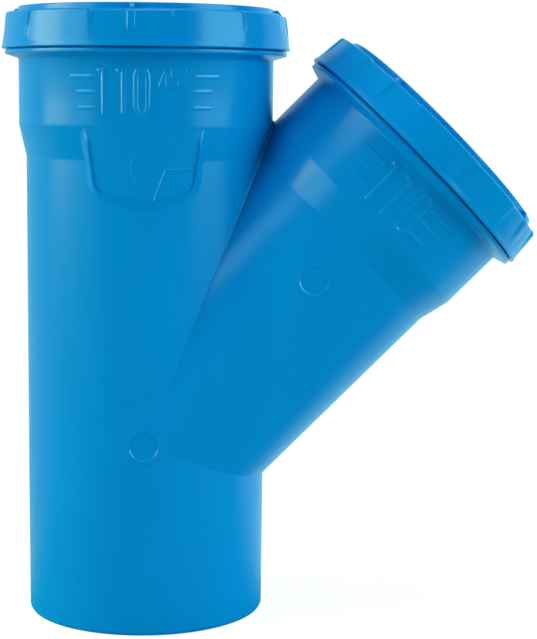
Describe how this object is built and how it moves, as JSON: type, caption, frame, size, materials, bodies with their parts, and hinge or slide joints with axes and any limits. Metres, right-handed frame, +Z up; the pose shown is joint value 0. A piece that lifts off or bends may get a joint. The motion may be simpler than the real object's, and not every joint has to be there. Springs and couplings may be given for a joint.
{
  "type": "pipe branch fitting",
  "caption": "Push-fit drain pipe branch: a straight run on a spigot and a side branch slanting from it, each ending in a flanged socket with a rubber lip seal under a snap-fit retaining ring.",
  "frame": {"origin": "centre of the spigot's end, on the axis of the run, where the fitting stands", "axes": "+Z up along the run; +X towards the side that the branch leans to; the branch's axis lies in the XZ plane, 45 degrees from +Z"},
  "size_m": [0.2466, 0.1324, 0.2801],
  "materials": {
    "body_plastic": "satin moulded polypropylene, blue",
    "ring_plastic": "satin moulded polypropylene, blue",
    "seal_rubber": "matt black rubber"
  },
  "bodies": {
    "root": {"body": "body_plastic", "run_seal": "seal_rubber", "branch_seal": "seal_rubber", "run_retaining_ring": "ring_plastic", "branch_retaining_ring": "ring_plastic"}
  },
  "joints": []
}
